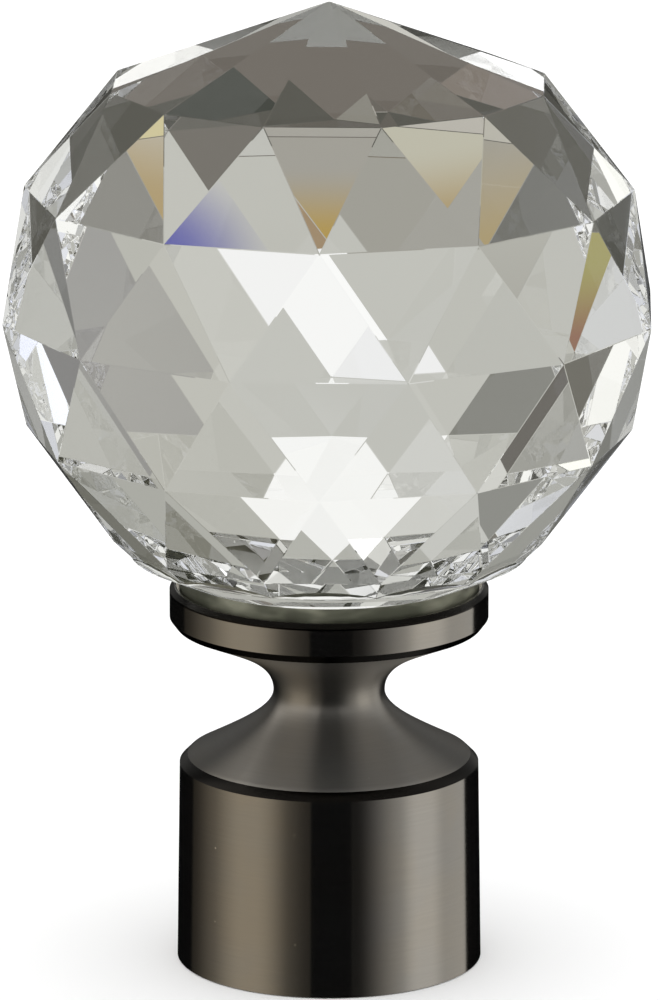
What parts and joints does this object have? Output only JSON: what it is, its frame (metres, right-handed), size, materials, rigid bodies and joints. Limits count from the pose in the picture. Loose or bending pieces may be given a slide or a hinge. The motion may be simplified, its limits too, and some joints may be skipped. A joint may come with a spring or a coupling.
{
  "type": "curtain rod finial",
  "caption": "Round-topped finial for a curtain rod: a cut clear glass ball seated in the collar of a waisted metal socket that slips over the rod's end.",
  "frame": {"origin": "centre of the socket's mouth, which is also the middle of the underside", "axes": "+Z along the rod's axis, from the mouth up to the ball's pole; +X and +Y are equal, and a corner of the ball's widest ring lies on +X"},
  "size_m": [0.0662, 0.0662, 0.098],
  "materials": {
    "crystal": "clear cut crystal, polished flat facets",
    "dark_metal": "black nickel, brushed round the axis, with polished edge breaks"
  },
  "bodies": {
    "root": {"crystal_ball": "crystal", "metal_socket": "dark_metal"}
  },
  "joints": []
}
